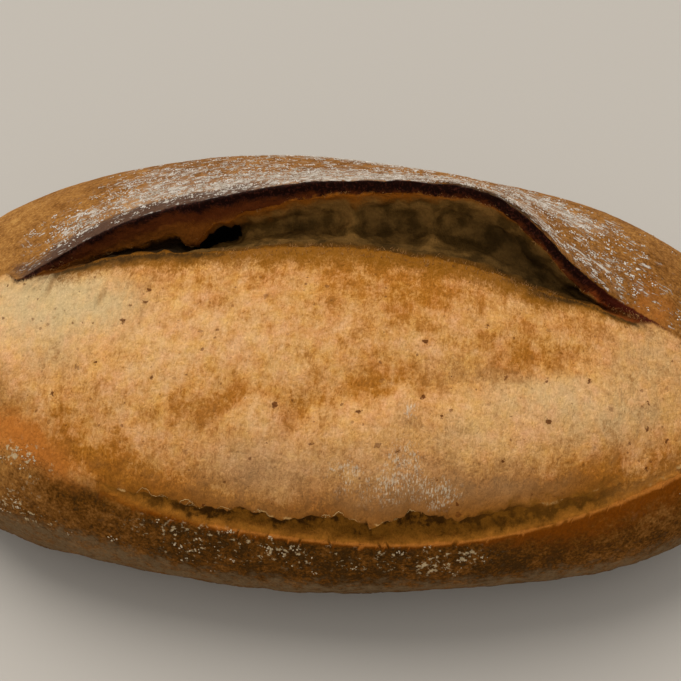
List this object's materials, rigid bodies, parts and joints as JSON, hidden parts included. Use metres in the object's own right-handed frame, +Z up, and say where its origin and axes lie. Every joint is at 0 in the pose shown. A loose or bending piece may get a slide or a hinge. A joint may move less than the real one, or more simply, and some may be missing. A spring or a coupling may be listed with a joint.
{
  "type": "sourdough loaf",
  "caption": "Long oval sourdough loaf with a flat base, a raised ear of dark crust over an open hollow, a broad golden bloom and a craggy groove before the front crust.",
  "frame": {"origin": "on the flat base, under the middle of the loaf's box", "axes": "+X along the loaf, +Y towards the side that carries the ear, +Z up"},
  "size_m": [0.2594, 0.142, 0.0873],
  "materials": {
    "crust": "matte browned crust dusted with flour"
  },
  "bodies": {
    "root": {"loaf": "crust"}
  },
  "joints": []
}
